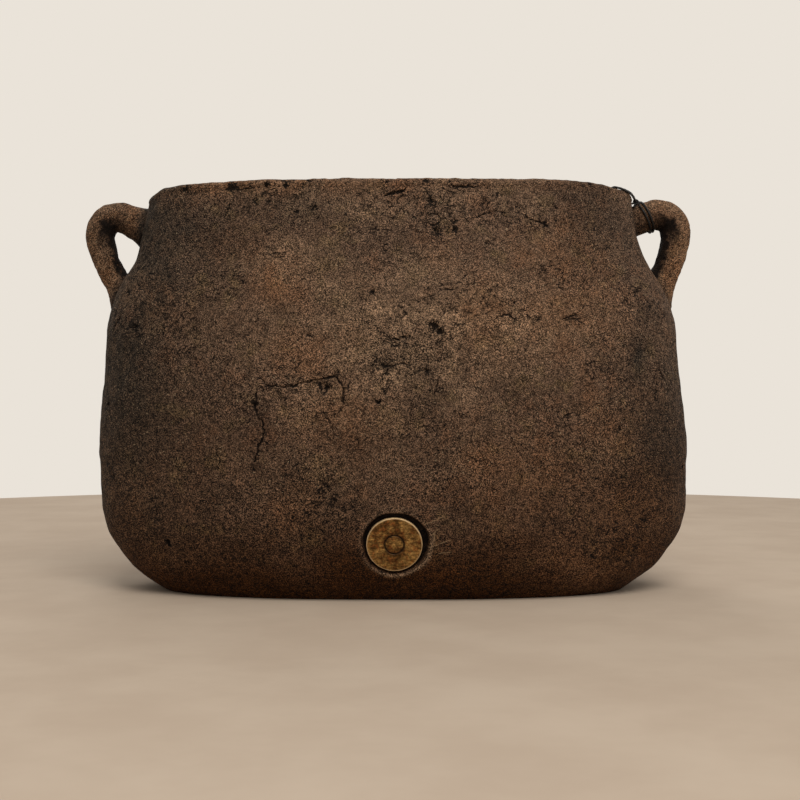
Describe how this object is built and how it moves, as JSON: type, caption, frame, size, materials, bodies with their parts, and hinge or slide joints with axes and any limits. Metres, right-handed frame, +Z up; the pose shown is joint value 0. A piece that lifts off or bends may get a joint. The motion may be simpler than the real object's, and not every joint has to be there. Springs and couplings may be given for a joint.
{
  "type": "oval planter",
  "caption": "Oval hand-built clay planter with a wide belly, narrow neck, small coil handles at both ends, a brass medallion low on the front and a blank tag on a cord.",
  "frame": {"origin": "middle of the flat underside, where the pot's own length and depth cross", "axes": "+X along the length towards the handle with the cord, -Y the front with the medallion, +Z up out of the mouth"},
  "size_m": [0.4283, 0.1904, 0.2774],
  "materials": {
    "clay": "matte",
    "aged_brass": "satin",
    "adhesive": "matte",
    "waxed_cord": "satin",
    "tag_card": "matte"
  },
  "bodies": {
    "root": {"pot_body": "clay", "handle_left": "clay", "handle_right": "clay", "medallion": "aged_brass", "medallion_adhesive": "adhesive", "cord_hitch": "waxed_cord", "cord_knot": "waxed_cord", "tag_cord": "waxed_cord", "hang_tag": "tag_card"}
  },
  "joints": []
}
